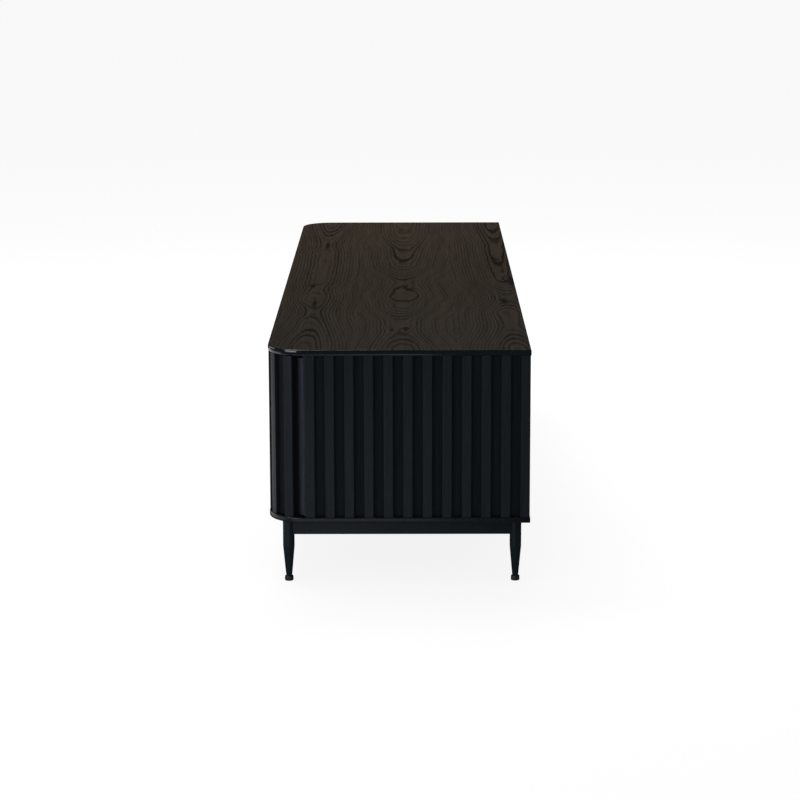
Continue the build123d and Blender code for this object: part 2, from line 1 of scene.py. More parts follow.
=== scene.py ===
"""Looks for a low sideboard with slatted wrap-round doors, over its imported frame."""
import math

import bmesh
import bpy
from mathutils import Matrix, Vector, noise


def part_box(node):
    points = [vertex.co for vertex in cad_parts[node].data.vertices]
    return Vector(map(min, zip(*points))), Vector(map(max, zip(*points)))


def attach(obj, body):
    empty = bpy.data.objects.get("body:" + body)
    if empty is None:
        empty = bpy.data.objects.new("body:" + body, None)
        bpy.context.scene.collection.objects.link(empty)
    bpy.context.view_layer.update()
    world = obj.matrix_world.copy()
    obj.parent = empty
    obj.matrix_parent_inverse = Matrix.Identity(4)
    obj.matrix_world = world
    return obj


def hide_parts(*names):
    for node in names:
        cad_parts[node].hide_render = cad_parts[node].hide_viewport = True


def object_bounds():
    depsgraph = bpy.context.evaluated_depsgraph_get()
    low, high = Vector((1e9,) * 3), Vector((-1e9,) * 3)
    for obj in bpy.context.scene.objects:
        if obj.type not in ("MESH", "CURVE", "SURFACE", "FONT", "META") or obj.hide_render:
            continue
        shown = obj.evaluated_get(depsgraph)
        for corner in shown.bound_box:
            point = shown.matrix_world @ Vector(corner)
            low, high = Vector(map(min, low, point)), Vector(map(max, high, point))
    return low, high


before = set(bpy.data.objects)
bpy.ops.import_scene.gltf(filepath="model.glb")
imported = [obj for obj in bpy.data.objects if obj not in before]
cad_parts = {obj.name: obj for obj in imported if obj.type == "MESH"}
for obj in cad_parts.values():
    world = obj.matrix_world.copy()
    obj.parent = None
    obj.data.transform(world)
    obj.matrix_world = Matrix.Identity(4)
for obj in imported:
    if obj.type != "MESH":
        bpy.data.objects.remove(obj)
cad_low, cad_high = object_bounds()

ROOT = "case"

# Camera, from the near end of the sideboard: it stands beyond the +X end and looks along -X.
CAMERA_BEYOND_END = 4.174
CAMERA_ASIDE = 0.0203
CAMERA_HEIGHT = 1.197
CAMERA_DOWN = math.radians(11.8)
CAMERA_TURN = math.radians(0.25)
CAMERA_ROLL = 0.0024
CAMERA_LENS = 113.0
CAMERA_SENSOR = 36.0
CAMERA_FAR = 400.0

# Studio.
FLOOR_RADIUS = 120.0
FLOOR_DROP = 0.0003
FLOOR_GLOW = 0.87
FLOOR_MATT = 0.16
DOME_DIFFUSE = 0.46
DOME_GLOSSY = 0.03
NEUTRAL = (1.0, 1.0, 1.0)
COOL = (0.95, 0.98, 1.0)
WARM = (1.0, 0.96, 0.91)

# Boards, in metres and degrees.
CORNER_RADIUS = 0.065
CORNER_STEPS = 28
ARRIS = 0.0019
ARRIS_ANGLES = (22.5, 45.0, 67.5, 90.0)
GRAIN_STEP_ALONG = 0.008
GRAIN_STEP_ACROSS = 0.003
PLAIN_STEP = 0.05
FACE_SLOT, EDGE_SLOT = 0, 1

# The top veneer's rings. The wander and the flutter are in rings.
RING_GAP = 0.0062
RING_WANDER = 0.45
RING_FLUTTER = 0.28
RINGS_BETWEEN_LEAVES = 37.0
LEAF_SWAY = 0.006
CROWN_WIDTH = 0.036
CROWN_BOLD = 0.9
STAIN_BOLD = 1.2

# The corner doors' hinge posts: x, the same on both sides, and y.
POST_AXIS = (0.781, -0.160)
POST_RADIUS = 0.0117
POST_MARGIN = 0.0002
POST_SMOOTHER = -0.28

# Colours, linear.
TOP_BROWN = (0.0322, 0.0246, 0.0170, 1.0)
TOP_DARK = (0.0050, 0.0034, 0.0022, 1.0)
OAK_BLACK = (0.0096, 0.0141, 0.0184, 1.0)
# Hinge posts: their black oak, made brighter by a painted highlight.
OAK_POST_PAINTED_HIGHLIGHT = (0.0220, 0.0285, 0.0360, 1.0)
OAK_EDGE = (0.0050, 0.0082, 0.0112, 1.0)
# Behind the end slats, and on the bottom board: darker than the slats, partly a dark backing and
# partly painted shade in the grooves.
OAK_BACKING_AND_GROOVE_SHADE = (0.0054, 0.0092, 0.0130, 1.0)
# Door boards between their slats: dark enough to be painted shade in the grooves.
DOOR_BOARD_PAINTED_SHADE = (0.0034, 0.0052, 0.0068, 1.0)
STEEL_BLACK = (0.0048, 0.0082, 0.0110, 1.0)
INNER_BLACK = (0.0180, 0.0190, 0.0200, 1.0)
BACK_BLACK = (0.0160, 0.0170, 0.0180, 1.0)
PLASTIC_BLACK = (0.0110, 0.0120, 0.0130, 1.0)
ZINC = (0.520, 0.530, 0.540, 1.0)
BLACK_ZINC = (0.060, 0.064, 0.070, 1.0)
BRASS = (0.610, 0.430, 0.190, 1.0)
BEECH = (0.520, 0.340, 0.190, 1.0)
WHITE = (1.0, 1.0, 1.0, 1.0)


class Graph:
    """Short ways to add nodes to one material or world and to join them."""

    def __init__(self, tree):
        self.tree = tree
        tree.nodes.clear()

    def add(self, kind, inputs, **settings):
        """A new node. inputs holds a plain value or another node's output for each input."""
        node = self.tree.nodes.new(kind)
        for name, value in settings.items():
            setattr(node, name, value)
        for name, value in inputs.items():
            if isinstance(value, bpy.types.NodeSocket):
                self.tree.links.new(value, node.inputs[name])
            else:
                node.inputs[name].default_value = value
        return node

    def math(self, operation, first, second=0.0, third=0.0, clamp=False):
        inputs = {0: first, 1: second, 2: third}
        return self.add("ShaderNodeMath", inputs, operation=operation, use_clamp=clamp).outputs[0]

    def object_place(self, scales):
        """The point on the piece, in metres in the row frame, times scales: one number, or one
        for each axis."""
        if isinstance(scales, float):
            scales = (scales, scales, scales)
        place = self.add("ShaderNodeTexCoord", {}).outputs["Object"]
        return self.add("ShaderNodeMapping", {"Vector": place, "Scale": scales}).outputs[0]

    def attribute(self, name):
        return self.add("ShaderNodeAttribute", {}, attribute_name=name).outputs["Fac"]

    def noise(self, place, detail=2.0, rough=0.5):
        inputs = {"Vector": place, "Scale": 1.0, "Detail": detail, "Roughness": rough}
        return self.add("ShaderNodeTexNoise", inputs).outputs[0]

    def swing(self, value, reach):
        """value, from 0 to 1, as a number from -reach to reach."""
        return self.math("MULTIPLY_ADD", value, 2.0 * reach, -reach)

    def ramp(self, value, stops):
        """A colour or grey for value, from stops of (place, colour)."""
        node = self.add("ShaderNodeValToRGB", {0: value})
        elements = node.color_ramp.elements
        while len(elements) < len(stops):
            elements.new(1.0)
        for element, (place, colour) in zip(elements, stops):
            element.position = place
            element.color = colour if isinstance(colour, tuple) else (colour, colour, colour, 1.0)
        return node.outputs[0]

    def mottle(self, value, base, darkest, lightest):
        """base times darkest where value is low, and times lightest where it is high."""
        return self.ramp(value, ((0.3, shade(base, darkest)), (0.7, shade(base, lightest))))

    def mix(self, factor, first, second, blend="MIX"):
        node = self.add("ShaderNodeMix", {0: factor}, data_type="RGBA", blend_type=blend)
        for index, value in ((6, first), (7, second)):
            if isinstance(value, bpy.types.NodeSocket):
                self.tree.links.new(value, node.inputs[index])
            else:
                node.inputs[index].default_value = value
        return node.outputs[2]

    def edges(self, radius, gain):
        """1 where the surface turns sharply within radius, 0 on its flats."""
        turned = self.add("ShaderNodeBevel", {"Radius": radius}, samples=4).outputs[0]
        plain = self.add("ShaderNodeNewGeometry", {}).outputs["Normal"]
        inputs = {0: turned, 1: plain}
        agree = self.add("ShaderNodeVectorMath", inputs, operation="DOT_PRODUCT").outputs["Value"]
        return self.math("MULTIPLY", self.math("SUBTRACT", 1.0, agree), gain, clamp=True)

    def rub_and_highlight_edges(self, colour, base, radius, gain, amount, lighter):
        """colour with its sharp edges made lighter, towards base times lighter: partly rubbed,
        partly a painted edge highlight.
        """
        wear_and_highlight = self.math("MULTIPLY", self.edges(radius, gain), amount)
        return self.mix(wear_and_highlight, colour, shade(base, lighter))

    def bump(self, height, distance, strength):
        inputs = {"Height": height, "Distance": distance, "Strength": strength}
        return self.add("ShaderNodeBump", inputs).outputs[0]


def new_material(name):
    material = bpy.data.materials.new(name)
    material.use_nodes = True
    return material, Graph(material.node_tree)


def finish_surface(graph, colour, roughness, normal, **plain):
    """The Principled shader and its output. plain holds the shader's uniform values."""
    inputs = {"Base Color": colour, "Roughness": roughness, "Normal": normal}
    inputs.update({name.replace("_", " "): value for name, value in plain.items()})
    shader = graph.add("ShaderNodeBsdfPrincipled", inputs)
    graph.add("ShaderNodeOutputMaterial", {"Surface": shader.outputs[0]})


def shade(colour, factor):
    return (colour[0] * factor, colour[1] * factor, colour[2] * factor, 1.0)


def top_veneer():
    """Crown-cut oak stained dark brown, with its rings read from the board's own attributes."""
    material, graph = new_material("dark_oak_veneer")
    leaf = graph.attribute("leaf")
    bold = graph.attribute("bold")
    wander = graph.noise(graph.object_place((14.0, 55.0, 14.0)), detail=3.0, rough=0.6)
    flutter = graph.noise(graph.object_place((75.0, 300.0, 75.0)), detail=3.0, rough=0.6)
    ring = graph.math("ADD", graph.attribute("ring"), graph.swing(wander, RING_WANDER))
    ring = graph.math("ADD", ring, graph.swing(flutter, RING_FLUTTER))

    # Each ring's chance sets its width and how dark its line is.
    count = graph.math("MULTIPLY_ADD", leaf, RINGS_BETWEEN_LEAVES, graph.math("FLOOR", ring))
    inputs = {"W": count}
    chance = graph.add("ShaderNodeTexWhiteNoise", inputs, noise_dimensions="1D").outputs["Value"]
    width = graph.ramp(chance, ((0.0, 0.70), (1.0, 1.0)))
    part = graph.math("MULTIPLY", graph.math("DIVIDE", graph.math("FRACT", ring), width), 0.72)
    line = graph.ramp(part, ((0.0, 0.0), (0.04, 1.0), (0.24, 0.85), (0.42, 0.10), (1.0, 0.0)))
    strength = graph.ramp(chance, ((0.0, 0.45), (0.5, 0.75), (0.85, 1.0)))
    force = graph.math("MULTIPLY", strength, graph.math("MULTIPLY_ADD", bold, 0.50, 0.72))

    # Pores break the lines and lie as fine dashes between them.
    fibres = graph.noise(graph.object_place((30.0, 700.0, 30.0)), detail=3.0, rough=0.65)
    pores = graph.ramp(fibres, ((0.50, 0.0), (0.62, 1.0)))
    broken = graph.ramp(fibres, ((0.34, 0.55), (0.52, 1.0)))
    dark = graph.math("MULTIPLY", graph.math("MULTIPLY", line, force), broken, clamp=True)
    zones = graph.noise(graph.object_place((3.0, 9.0, 3.0)), detail=2.0)
    dashes = graph.math("MULTIPLY", pores, graph.ramp(zones, ((0.40, 0.12), (0.70, 0.45))))
    dark = graph.math("MAXIMUM", dark, dashes)

    # Boldness above 1 is a stain, with a ragged outline.
    stain = graph.math("MULTIPLY", graph.math("SUBTRACT", bold, 1.0), 1.8, clamp=True)
    ragged = graph.math("MULTIPLY_ADD", flutter, 2.4, -0.2)
    dark = graph.math("MAXIMUM", dark, graph.math("MULTIPLY", stain, ragged, clamp=True))

    tone = graph.noise(graph.object_place((6.0, 120.0, 6.0)), detail=4.0, rough=0.6)
    colour = graph.mix(dark, graph.mottle(tone, TOP_BROWN, 0.80, 1.16), TOP_DARK)
    roughness = graph.math("MULTIPLY_ADD", dark, 0.18, 0.46)
    normal = graph.bump(graph.math("MULTIPLY", dark, -1.0), 0.00012, 0.7)
    finish_surface(graph, colour, roughness, normal, Specular_IOR_Level=0.03)
    return material


def hinge_post(graph):
    """1 on the round hinge posts of the corner doors and 0 on the rest of their boards."""
    place = graph.add("ShaderNodeTexCoord", {}).outputs["Object"]
    split = graph.add("ShaderNodeSeparateXYZ", {0: place})
    across = graph.math("SUBTRACT", graph.math("ABSOLUTE", split.outputs["X"]), POST_AXIS[0])
    along = graph.math("SUBTRACT", split.outputs["Y"], POST_AXIS[1])
    reach = graph.math("SQRT", graph.math("ADD", graph.math("MULTIPLY", across, across),
                                          graph.math("MULTIPLY", along, along)))
    return graph.math("LESS_THAN", reach, POST_RADIUS + POST_MARGIN)


def black_oak(name, base, along, gloss=0.12, sheen=0.26, spread=0.16, edge_wear_and_highlight=0.75, relief=0.7,
              post_highlight=None):
    """Oak stained black, open-pored, with its grain along one axis: 0 for X, 2 for Z. gloss is
    its specular level, sheen its lowest roughness and spread how much the grain adds to that.
    Its edge setting is how strongly its edges are lightened, partly rubbed and partly a painted
    edge highlight, and relief how open its grain is.
    The colour given for hinge posts, on a board that has them, is their black oak made brighter by
    a painted highlight; the posts are also smoother."""
    material, graph = new_material(name)

    def place(length, width):
        """Coordinates with features length long on the grain and width across it."""
        scales = [1.0 / width] * 3
        scales[along] = 1.0 / length
        return graph.object_place(scales)

    bands = graph.noise(place(0.60, 0.012), detail=3.0, rough=0.6)
    streaks = graph.noise(place(0.090, 0.0022), detail=4.0, rough=0.65)
    pores = graph.noise(place(0.012, 0.0009), detail=2.0, rough=0.6)
    pores = graph.ramp(pores, ((0.54, 0.0), (0.64, 1.0)))
    grain = graph.ramp(bands, ((0.30, 0.84), (0.70, 1.0)))
    grey = graph.ramp(streaks, ((0.30, 0.60), (0.50, 0.82), (0.72, 1.0)))
    roughness = graph.math("MULTIPLY_ADD", streaks, spread, sheen)
    roughness = graph.math("MULTIPLY_ADD", pores, 0.75 * spread, roughness)
    tint = base
    # The hinge posts get a brighter colour, which is a painted highlight, and a smoother finish.
    if post_highlight:
        on_post = hinge_post(graph)
        tint = graph.mix(on_post, base, post_highlight)
        roughness = graph.math("MULTIPLY_ADD", on_post, POST_SMOOTHER, roughness)
    colour = graph.mix(1.0, tint, grain, blend="MULTIPLY")
    colour = graph.mix(1.0, colour, grey, blend="MULTIPLY")
    colour = graph.mix(graph.math("MULTIPLY", pores, 0.45), colour, shade(base, 0.45))
    # Edges lighter in patches: partly rubbed, partly a painted edge highlight.
    wear_and_highlight = graph.edges(0.0009, 1.6)
    edge_patches = graph.noise(graph.object_place(45.0), detail=4.0, rough=0.7)
    wear_and_highlight = graph.math("MULTIPLY", wear_and_highlight, graph.ramp(edge_patches, ((0.42, 0.13 * edge_wear_and_highlight), (0.66, edge_wear_and_highlight))))
    colour = graph.mix(wear_and_highlight, colour, shade(base, 2.6))
    height = graph.math("MULTIPLY_ADD", pores, -0.8, graph.math("MULTIPLY", streaks, 0.5))
    normal = graph.bump(height, 0.00009, relief)
    finish_surface(graph, colour, roughness, normal, Specular_IOR_Level=gloss)
    return material


def powder_steel():
    """Steel under a fine black powder coat: a shallow orange peel and a few lighter specks."""
    material, graph = new_material("black_powder_coat")
    peel = graph.noise(graph.object_place(900.0), detail=3.0, rough=0.55)
    cloud = graph.noise(graph.object_place(12.0), detail=3.0)
    coat = graph.mottle(cloud, STEEL_BLACK, 0.88, 1.15)
    speck = graph.ramp(peel, ((0.62, 0.0), (0.72, 0.35)))
    colour = graph.mix(speck, coat, shade(STEEL_BLACK, 1.9))
    # Lighter edges: partly rubbed, partly a painted edge highlight.
    colour = graph.rub_and_highlight_edges(colour, STEEL_BLACK, radius=0.0010, gain=1.5, amount=0.5, lighter=2.6)
    roughness = graph.math("MULTIPLY_ADD", peel, 0.20, 0.22)
    normal = graph.bump(peel, 0.00008, 0.6)
    finish_surface(graph, colour, roughness, normal, Specular_IOR_Level=0.16)
    return material


def inner_board():
    """Black melamine with a short, fine embossed grain, and edges made lighter: slightly chipped,
    and a painted edge highlight.
    """
    material, graph = new_material("black_melamine")
    emboss = graph.noise(graph.object_place((90.0, 700.0, 700.0)), detail=3.0, rough=0.6)
    cloud = graph.noise(graph.object_place(6.0), detail=3.0)
    film = graph.mottle(cloud, INNER_BLACK, 0.90, 1.12)
    grey = graph.ramp(emboss, ((0.35, 0.80), (0.65, 1.15)))
    colour = graph.mix(1.0, film, grey, blend="MULTIPLY")
    # Lighter edges: partly chipped, partly a painted edge highlight.
    colour = graph.rub_and_highlight_edges(colour, INNER_BLACK, radius=0.0008, gain=1.3, amount=0.4, lighter=2.4)
    roughness = graph.math("MULTIPLY_ADD", emboss, 0.20, 0.40)
    normal = graph.bump(emboss, 0.00006, 0.6)
    finish_surface(graph, colour, roughness, normal, Specular_IOR_Level=0.40)
    return material


def back_board():
    """Black-painted fibreboard: a felted, matt face with a soft mottle."""
    material, graph = new_material("black_fibreboard")
    fibres = graph.noise(graph.object_place((420.0, 420.0, 260.0)), detail=5.0, rough=0.7)
    roller = graph.noise(graph.object_place((9.0, 9.0, 60.0)), detail=3.0)
    paint = graph.mottle(roller, BACK_BLACK, 0.86, 1.16)
    grey = graph.ramp(fibres, ((0.32, 0.78), (0.68, 1.22)))
    colour = graph.mix(1.0, paint, grey, blend="MULTIPLY")
    roughness = graph.math("MULTIPLY_ADD", fibres, 0.14, 0.68)
    normal = graph.bump(fibres, 0.00010, 0.6)
    finish_surface(graph, colour, roughness, normal, Specular_IOR_Level=0.30)
    return material


def moulded_plastic(name, roughness_low):
    """Black moulded plastic with a spark-eroded grain."""
    material, graph = new_material(name)
    grain = graph.noise(graph.object_place(1600.0), detail=2.0)
    cloud = graph.noise(graph.object_place(60.0), detail=2.0)
    colour = graph.mottle(cloud, PLASTIC_BLACK, 0.9, 1.2)
    # Lighter edges: partly rubbed, partly a painted edge highlight.
    colour = graph.rub_and_highlight_edges(colour, PLASTIC_BLACK, radius=0.0006, gain=1.2, amount=0.35,
                             lighter=2.5)
    roughness = graph.math("MULTIPLY_ADD", grain, 0.16, roughness_low)
    normal = graph.bump(grain, 0.00004, 0.6)
    finish_surface(graph, colour, roughness, normal, Specular_IOR_Level=0.45)
    return material


def plated_metal(name, base, roughness_low, streak):
    """Plated or plain metal: fine streaks and a patchy tone. streak is the streaks' scale on Z."""
    material, graph = new_material(name)
    patches = graph.noise(graph.object_place(160.0), detail=4.0, rough=0.6)
    lines = graph.noise(graph.object_place((300.0, 300.0, streak)), detail=3.0, rough=0.6)
    colour = graph.mottle(patches, base, 0.80, 1.10)
    roughness = graph.math("MULTIPLY_ADD", lines, 0.22, roughness_low)
    normal = graph.bump(lines, 0.00003, 0.6)
    finish_surface(graph, colour, roughness, normal, Metallic=1.0)
    return material


def dowel_beech():
    """Plain beech with short pores along the dowel."""
    material, graph = new_material("plain_beech")
    grain = graph.noise(graph.object_place((120.0, 900.0, 900.0)), detail=4.0, rough=0.6)
    colour = graph.mottle(grain, BEECH, 0.75, 1.1)
    roughness = graph.math("MULTIPLY_ADD", grain, 0.2, 0.5)
    normal = graph.bump(grain, 0.00008, 0.6)
    finish_surface(graph, colour, roughness, normal, Specular_IOR_Level=0.4)
    return material


class Leaf:
    """One veneer leaf of the top. middle is its middle line's y and softness how blunt its rings'
    arcs are there. turns lists (x, rings) where the ring count turns along the leaf. knots lists
    (x, y, length, width, rise in rings) and stains (x, y, length, width)."""

    def __init__(self, middle, softness, turns, knots, stains):
        self.middle = middle
        self.softness = softness
        self.turns = turns
        self.knots = knots
        self.stains = stains

    def rings_along(self, x):
        """Rings gained by x, smooth between the turning points."""
        before = self.turns[0]
        for after in self.turns[1:]:
            if x <= after[0]:
                share = max(0.0, (x - before[0]) / (after[0] - before[0]))
                smooth = share * share * (3.0 - 2.0 * share)
                return before[1] + (after[1] - before[1]) * smooth
            before = after
        return before[1]

    def across(self, x, y):
        """How far a point lies from the leaf's swaying middle line."""
        sway = noise.noise(Vector((x * 2.6, self.middle * 90.0, 0.0)))
        return y - self.middle - LEAF_SWAY * sway

    def rings(self, x, y):
        """The ring count at a point: a valley across the leaf, plus the rise along it."""
        valley = (abs(self.across(x, y)) ** 3 + self.softness ** 3) ** (1 / 3) - self.softness
        count = valley / RING_GAP + self.rings_along(x)
        return count + sum(rise * hump(x, y, *spot) for *spot, rise in self.knots)

    def boldness(self, x, y):
        """How strong the rings are drawn: up to 1 in the leaf's middle, and more on a stain."""
        crown = CROWN_BOLD * math.exp(-(self.across(x, y) / CROWN_WIDTH) ** 2)
        return crown + STAIN_BOLD * sum(hump(x, y, *spot) for spot in self.stains)


def hump(x, y, middle_x, middle_y, length, width):
    """A smooth hill of height 1 at a spot."""
    return math.exp(-((x - middle_x) / length) ** 2 - ((y - middle_y) / width) ** 2)


LEAF_JOINTS = (-0.078, 0.104)
LEAVES = (
    Leaf(
        middle=-0.159,
        softness=0.013,
        turns=((-0.80, 0.5), (-0.43, 4.7), (-0.32, 3.65), (0.06, 3.65), (0.15, 4.6), (0.26, 3.6),
               (0.42, 5.6), (0.80, 0.6)),
        knots=((0.28, -0.185, 0.06, 0.014, -0.9), (0.52, -0.175, 0.05, 0.02, -1.0)),
        stains=((-0.43, -0.159, 0.050, 0.004), (0.12, -0.170, 0.022, 0.004),
                (0.33, -0.160, 0.04, 0.004))),
    Leaf(
        middle=0.006,
        softness=0.022,
        turns=((-0.80, 0.6), (-0.66, 1.0), (-0.29, 5.6), (-0.16, 6.6), (0.075, 13.6),
               (0.245, 11.4), (0.345, 13.6), (0.53, 18.6), (0.60, 18.65), (0.80, 15.6)),
        knots=((0.235, 0.006, 0.070, 0.024, 1.25), (0.150, 0.024, 0.030, 0.012, 0.8),
               (0.610, 0.012, 0.022, 0.010, -1.6), (0.585, -0.018, 0.016, 0.009, -1.2)),
        stains=((0.165, 0.019, 0.016, 0.008), (0.605, -0.014, 0.014, 0.005),
                (0.590, 0.013, 0.012, 0.006))),
    Leaf(
        middle=0.204,
        softness=0.016,
        turns=((-0.80, 0.5), (-0.40, 2.6), (0.02, 3.6), (0.27, 8.6), (0.44, 5.5), (0.56, 5.65),
               (0.80, 1.5)),
        knots=((0.025, 0.214, 0.025, 0.010, 1.8), (0.42, 0.175, 0.08, 0.02, -1.0)),
        stains=((0.06, 0.219, 0.070, 0.006), (0.30, 0.196, 0.030, 0.006))),
)


def leaf_at(y):
    """The index of the veneer leaf over y."""
    return sum(y > joint for joint in LEAF_JOINTS)


def board_outline(low, high, inset, step):
    """Columns of the board, each x with its front and back y. The front corners are round."""
    reach = CORNER_RADIUS - inset
    middle_low = low.x + CORNER_RADIUS
    middle_high = high.x - CORNER_RADIUS
    straight = max(2, round((middle_high - middle_low) / step))
    columns = []
    for i in range(CORNER_STEPS):
        angle = math.pi / 2 * (1.0 - i / CORNER_STEPS)
        columns.append((middle_low - reach * math.sin(angle), reach * (1.0 - math.cos(angle))))
    for i in range(straight + 1):
        columns.append((middle_low + (middle_high - middle_low) * i / straight, 0.0))
    for i in range(1, CORNER_STEPS + 1):
        angle = math.pi / 2 * i / CORNER_STEPS
        columns.append((middle_high + reach * math.sin(angle), reach * (1.0 - math.cos(angle))))
    front, back = low.y + inset, high.y - inset
    return [(x, front + drop, back) for x, drop in columns]


def add_face(mesh, corners, index, smooth=False):
    face = mesh.faces.new(corners)
    face.material_index = index
    face.smooth = smooth


def arris_profile(low_z, high_z):
    """The rings below the upper face, as (growth, height): a quarter round above and below."""
    upper = [math.radians(angle) for angle in ARRIS_ANGLES]
    lower = [0.0] + upper
    profile = [(ARRIS * math.sin(a), high_z - ARRIS * (1.0 - math.cos(a))) for a in upper]
    return profile + [(ARRIS * math.cos(a), low_z + ARRIS * (1.0 - math.sin(a))) for a in lower]


def edge_ring(mesh, grid):
    """The grid's outer vertices in order, from the front left corner along the front."""
    columns, rows = len(grid), len(grid[0])
    ring = [grid[i][0] for i in range(columns)]
    ring += [grid[columns - 1][j] for j in range(1, rows)]
    ring += [grid[i][rows - 1] for i in range(columns - 2, -1, -1)]
    ring += [grid[0][j] for j in range(rows - 2, 0, -1)]
    return ring


def outward(ring, k):
    """How far a ring's vertex moves for each metre of growth, in the board's plane."""
    here = ring[k].co.xy
    before = (here - ring[k - 1].co.xy).normalized()
    after = (ring[(k + 1) % len(ring)].co.xy - here).normalized()
    side_before = Vector((before.y, -before.x))
    side_after = Vector((after.y, -after.x))
    both = (side_before + side_after).normalized()
    return both / max(0.5, both.dot(side_after))


def make_board(name, low, high, step_along, step_across):
    """A board with round front corners, a small arris all round and a gridded upper face. The
    face slot has its upper face with the start of the arris, the edge slot everything else."""
    mesh = bmesh.new()
    rows = max(2, round((high.y - low.y) / step_across))
    upper = []
    for x, front, back in board_outline(low, high, ARRIS, step_along):
        upper.append([mesh.verts.new((x, front + (back - front) * j / rows, high.z))
                      for j in range(rows + 1)])
    for left, right in zip(upper, upper[1:]):
        for j in range(rows):
            add_face(mesh, (left[j], right[j], right[j + 1], left[j + 1]), FACE_SLOT)
    ring = edge_ring(mesh, upper)
    ways = [outward(ring, k) for k in range(len(ring))]
    places = [vertex.co.xy for vertex in ring]
    above = ring
    slot = FACE_SLOT
    for grow, z in arris_profile(low.z, high.z):
        below = [mesh.verts.new((place.x + way.x * grow, place.y + way.y * grow, z))
                 for place, way in zip(places, ways)]
        for k in range(len(ring)):
            n = (k + 1) % len(ring)
            add_face(mesh, (above[k], below[k], below[n], above[n]), slot, smooth=True)
        above = below
        slot = EDGE_SLOT
    add_face(mesh, list(reversed(above)), EDGE_SLOT)
    mesh.normal_update()
    data = bpy.data.meshes.new(name)
    mesh.to_mesh(data)
    mesh.free()
    made = bpy.data.objects.new(name, data)
    bpy.context.scene.collection.objects.link(made)
    return made


def paint_rings(board):
    """Writes each vertex's ring count, leaf and boldness, which the veneer's material draws."""
    ring = board.data.attributes.new("ring", "FLOAT", "POINT")
    leaf = board.data.attributes.new("leaf", "FLOAT", "POINT")
    bold = board.data.attributes.new("bold", "FLOAT", "POINT")
    for vertex in board.data.vertices:
        index = leaf_at(vertex.co.y)
        ring.data[vertex.index].value = LEAVES[index].rings(vertex.co.x, vertex.co.y)
        leaf.data[vertex.index].value = float(index)
        bold.data[vertex.index].value = LEAVES[index].boldness(vertex.co.x, vertex.co.y)


def softbox(name, place, target, size, power, colour=NEUTRAL):
    """An area light at place that faces target. Its size is in metres and its power in watts."""
    data = bpy.data.lights.new(name, "AREA")
    data.shape = "RECTANGLE"
    data.size, data.size_y = size
    data.energy = power
    data.color = colour
    light = bpy.data.objects.new(name, data)
    light.location = place
    light.rotation_euler = (Vector(target) - Vector(place)).to_track_quat("-Z", "Y").to_euler()
    bpy.context.scene.collection.objects.link(light)
    return light


def studio_world():
    """White behind everything, a moderate dome for diffuse light and a dim one for gloss."""
    world = bpy.data.worlds.new("studio")
    bpy.context.scene.world = world
    world.use_nodes = True
    graph = Graph(world.node_tree)
    path = graph.add("ShaderNodeLightPath", {})
    is_glossy = path.outputs["Is Glossy Ray"]
    dome = graph.math("MULTIPLY_ADD", is_glossy, DOME_GLOSSY - DOME_DIFFUSE, DOME_DIFFUSE)
    strength = graph.math("MAXIMUM", path.outputs["Is Camera Ray"], dome)
    shader = graph.add("ShaderNodeBackground", {"Color": WHITE, "Strength": strength})
    graph.add("ShaderNodeOutputWorld", {"Surface": shader.outputs[0]})


def studio_floor():
    """A wide pale floor that takes only a faint shadow, as a retouched packshot does."""
    mesh = bmesh.new()
    bmesh.ops.create_circle(mesh, cap_ends=True, segments=96, radius=FLOOR_RADIUS)
    data = bpy.data.meshes.new("studio_floor")
    mesh.to_mesh(data)
    mesh.free()
    floor = bpy.data.objects.new("studio_floor", data)
    floor.location = (0.0, 0.0, cad_low.z - FLOOR_DROP)
    bpy.context.scene.collection.objects.link(floor)
    material, graph = new_material("pale_floor")
    glow = graph.add("ShaderNodeEmission", {"Color": WHITE, "Strength": FLOOR_GLOW})
    matt = graph.add("ShaderNodeBsdfDiffuse", {"Color": shade(WHITE, FLOOR_MATT)})
    both = graph.add("ShaderNodeAddShader", {0: glow.outputs[0], 1: matt.outputs[0]})
    graph.add("ShaderNodeOutputMaterial", {"Surface": both.outputs[0]})
    data.materials.append(material)
    floor.visible_glossy = False


def studio_camera():
    data = bpy.data.cameras.new("photo_camera")
    data.lens = CAMERA_LENS
    data.sensor_width = CAMERA_SENSOR
    data.clip_end = CAMERA_FAR
    camera = bpy.data.objects.new("photo_camera", data)
    flat = math.cos(CAMERA_DOWN)
    forward = Vector((-flat * math.cos(CAMERA_TURN), -flat * math.sin(CAMERA_TURN),
                      -math.sin(CAMERA_DOWN)))
    aim = forward.to_track_quat("-Z", "Y").to_matrix().to_4x4()
    place = Vector((cad_high.x + CAMERA_BEYOND_END, CAMERA_ASIDE, CAMERA_HEIGHT))
    camera.matrix_world = Matrix.Translation(place) @ aim @ Matrix.Rotation(-CAMERA_ROLL, 4, "Z")
    bpy.context.scene.collection.objects.link(camera)
    bpy.context.scene.camera = camera


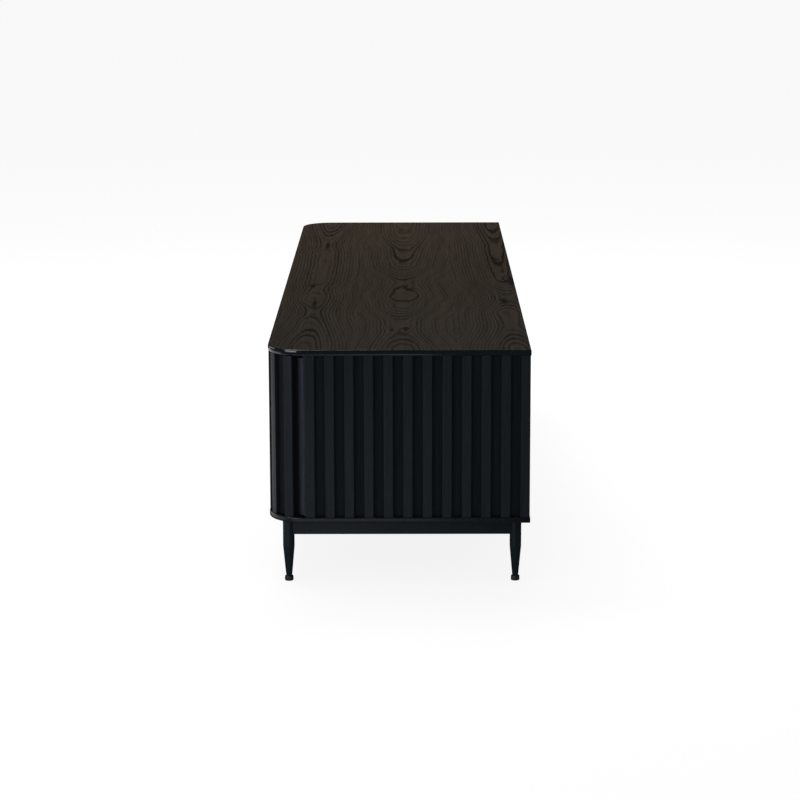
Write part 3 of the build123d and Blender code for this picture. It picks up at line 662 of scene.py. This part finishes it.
def studio():
    scene = bpy.context.scene
    scene.view_settings.view_transform = "Standard"
    scene.view_settings.look = "None"
    studio_world()
    studio_floor()
    studio_camera()
    softbox("overhead", place=(-0.9, -0.44, 3.0), target=(-0.7, -0.25, 0.4),
            size=(3.4, 0.42), power=64.0)
    softbox("front_left", place=(2.6, -2.0, 0.6), target=(0.6, -0.1, 0.2),
            size=(1.7, 0.9), power=20.0, colour=COOL)
    softbox("side_left", place=(-1.1, -2.9, 0.7), target=(0.2, -0.2, 0.3),
            size=(2.0, 1.2), power=15.0)
    softbox("near_right", place=(3.2, 2.4, 1.5), target=(0.4, 0.1, 0.3),
            size=(1.2, 1.4), power=3.0, colour=COOL)
    far_end = softbox("far_end", place=(-1.6, -0.2, 1.5), target=(-0.8, 0.0, 0.4),
                      size=(0.9, 0.9), power=11.0)
    far_end.visible_glossy = False

    # Glow from just above the floor, beside the near end and along the front.
    near_glow = softbox("near_glow", place=(1.35, -0.25, 0.02), target=(0.80, -0.02, 0.16),
                        size=(0.7, 0.3), power=0.46)
    left_glow = softbox("left_glow", place=(-0.1, -1.2, 0.01), target=(-0.1, -1.2, 1.0),
                        size=(2.2, 1.4), power=10.0, colour=WARM)
    for glow in (near_glow, left_glow):
        glow.visible_camera = False


def paint_nodes(materials, special):
    """Gives every CAD node that stays the finish of its slot, or its own where special."""
    for name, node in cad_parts.items():
        for slot in node.material_slots:
            slot.material = special.get(name) or materials[slot.material.name]


studio()

OAK_UPRIGHT = black_oak("black_oak_upright", OAK_BLACK, 2)
OAK_EDGES = black_oak("black_oak_edges", OAK_EDGE, 0,
                      gloss=0.6, sheen=0.10, spread=0.03, edge_wear_and_highlight=0.0, relief=0.03)
OAK_LEVEL = black_oak("black_oak_level", OAK_BACKING_AND_GROOVE_SHADE, 0,
                      gloss=0.3, sheen=0.16, edge_wear_and_highlight=0.0, relief=0.2)
# End panels between the slats: darkened as painted groove shade over a dark backing.
OAK_BEHIND_SLATS_SHADED = black_oak("black_oak_behind_slats_painted_shade", OAK_BACKING_AND_GROOVE_SHADE, 2, gloss=0.05, sheen=0.40)
# Corner and inner doors: the boards are darkened as painted groove shade, and the hinge posts are
# brightened as a painted highlight.
OAK_DOOR_SHADE_AND_HIGHLIGHT = black_oak("black_oak_door_painted_shade_and_highlight", DOOR_BOARD_PAINTED_SHADE, 2,
                     gloss=0.11, sheen=0.50, post_highlight=OAK_POST_PAINTED_HIGHLIGHT)
VENEER = top_veneer()
SLOT_FINISH = {
    "top_veneer": VENEER,
    "black_oak": OAK_UPRIGHT,
    "inner_board": inner_board(),
    "back_board": back_board(),
    "black_steel": powder_steel(),
    "foot_plastic": moulded_plastic("foot_nylon", 0.38),
    "latch_plastic": moulded_plastic("latch_acetal", 0.30),
    "zinc_steel": plated_metal("zinc_plate", ZINC, 0.24, 80.0),
    "bush_brass": plated_metal("turned_brass", BRASS, 0.22, 900.0),
    "dowel_beech": dowel_beech(),
}
HINGE_BLACK = plated_metal("black_zinc_plate", BLACK_ZINC, 0.34, 80.0)
OWN_FINISH = {
    "case_leaves": HINGE_BLACK,
    "case_leaf_screws": HINGE_BLACK,
}
for side in ("right", "left"):
    OWN_FINISH[f"door_leaves_{side}"] = HINGE_BLACK
    OWN_FINISH[f"door_leaf_screws_{side}"] = HINGE_BLACK
    OWN_FINISH[f"end_panel_{side}"] = OAK_BEHIND_SLATS_SHADED
    OWN_FINISH[f"outer_door_{side}"] = OAK_DOOR_SHADE_AND_HIGHLIGHT
    OWN_FINISH[f"inner_door_{side}"] = OAK_DOOR_SHADE_AND_HIGHLIGHT
paint_nodes(SLOT_FINISH, OWN_FINISH)

top_board = make_board("top_board", *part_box("top_panel"), GRAIN_STEP_ALONG, GRAIN_STEP_ACROSS)
top_board.data.materials.append(VENEER)
top_board.data.materials.append(OAK_EDGES)
paint_rings(top_board)
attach(top_board, ROOT)
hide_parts("top_panel")

bottom_board = make_board("bottom_board", *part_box("bottom_panel"), PLAIN_STEP, PLAIN_STEP)
bottom_board.data.materials.append(OAK_LEVEL)
bottom_board.data.materials.append(OAK_LEVEL)
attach(bottom_board, ROOT)
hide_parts("bottom_panel")
